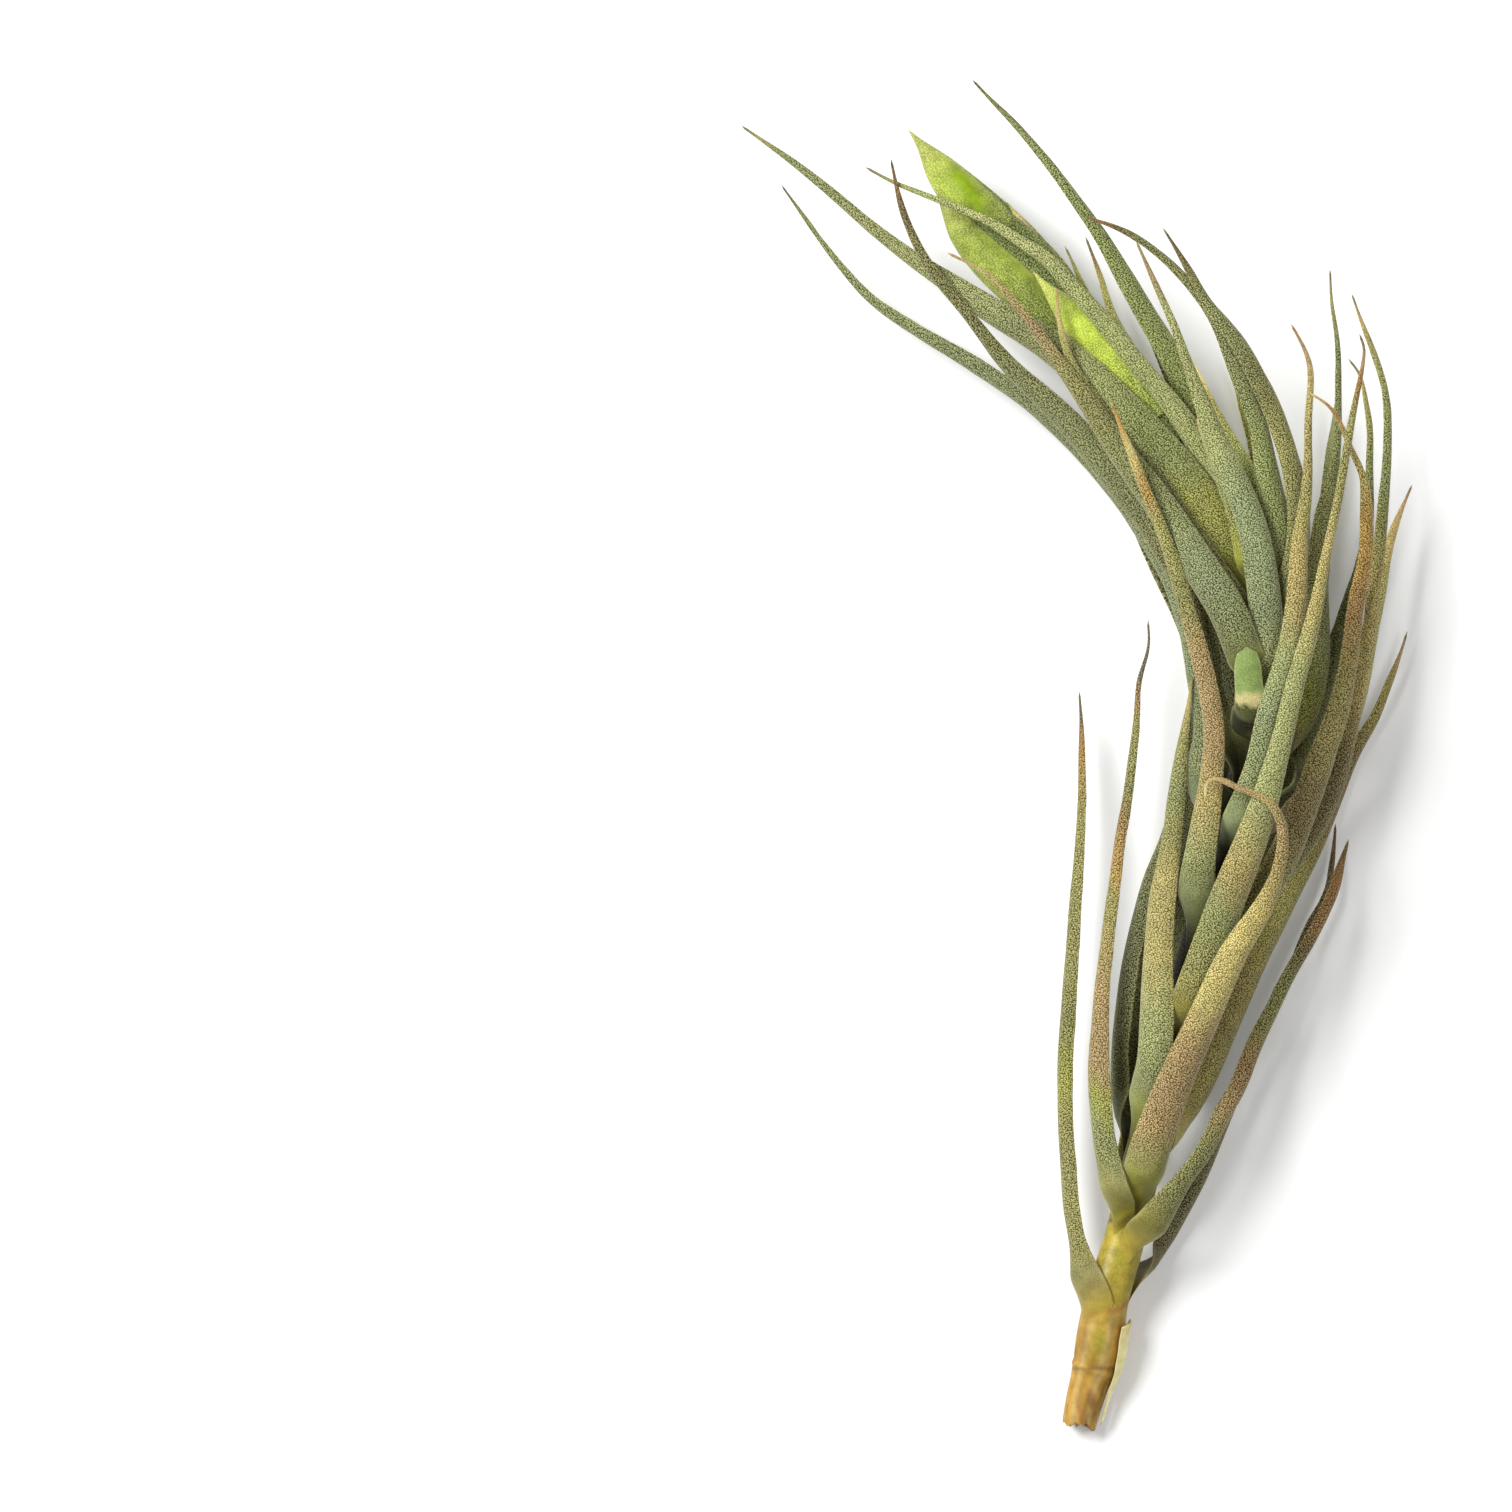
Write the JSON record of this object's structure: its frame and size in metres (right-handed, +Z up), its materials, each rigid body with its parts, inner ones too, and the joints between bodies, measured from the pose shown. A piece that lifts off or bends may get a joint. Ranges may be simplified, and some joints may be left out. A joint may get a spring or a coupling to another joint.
{
  "type": "air plant",
  "caption": "Cut air plant lying on its side: bare stem base, long channelled grey-green leaves along the stem, lime flower spike.",
  "frame": {"origin": "centre of the plant's bounding box in plan, on the surface it lies on", "axes": "+X to the right and +Y from the cut stem end towards the flower spike as seen from above, +Z up from the surface the plant lies on"},
  "size_m": [0.1009, 0.2024, 0.033],
  "materials": {
    "leaf_sage": "matt grey-green with fine silvery scales and tan to brown points",
    "leaf_tan": "matt grey-green turning tan, rust and brown towards the point, fine silvery scales",
    "leaf_dark": "matt dark olive green with fine silvery scales",
    "leaf_young": "satin pale green with a cream lower edge",
    "spike_lime": "satin lime green with a fine frosted grain and a deep green groove",
    "stem_bark": "smooth golden brown with darker spots and a ragged cut end",
    "old_sheath_paper": "dry papery pale yellow"
  },
  "bodies": {
    "root": {"stem": "stem_bark", "old_sheath": "old_sheath_paper", "flower_spike": "spike_lime", "side_spike": "spike_lime", "leaf_top_long": "leaf_sage", "leaf_beside_speckled": "leaf_sage", "leaf_over_spike": "leaf_sage", "leaf_central_broad": "leaf_sage", "leaf_broken_tip": "leaf_sage", "leaf_rust_arched": "leaf_tan", "leaf_brown_tip": "leaf_tan", "leaf_thin_tan": "leaf_tan", "leaf_lower_left_long": "leaf_sage", "leaf_brown_curved": "leaf_tan", "leaf_speckled": "leaf_sage", "leaf_brown_front": "leaf_tan", "leaf_young_stub": "leaf_young", "leaf_tan_tip": "leaf_tan", "leaf_right_tall": "leaf_tan", "leaf_rust_hooked": "leaf_tan", "leaf_left_orange": "leaf_tan", "leaf_front_pale": "leaf_sage", "leaf_front_light": "leaf_sage", "leaf_front_withered": "leaf_tan", "leaf_left_free_short": "leaf_tan", "leaf_right_free_front": "leaf_tan", "leaf_left_free_long": "leaf_tan", "leaf_behind_spike_b": "leaf_dark", "leaf_behind_spike_a": "leaf_dark", "leaf_right_upright": "leaf_dark", "leaf_right_thin": "leaf_dark", "leaf_right_orange": "leaf_tan", "leaf_left_dark": "leaf_dark", "leaf_right_long": "leaf_dark", "leaf_right_free_back": "leaf_dark", "leaf_under_01": "leaf_dark", "leaf_under_02": "leaf_dark", "leaf_under_03": "leaf_dark", "leaf_under_04": "leaf_dark", "leaf_under_05": "leaf_dark", "leaf_under_06": "leaf_dark", "leaf_under_07": "leaf_dark", "leaf_under_08": "leaf_dark"}
  },
  "joints": []
}
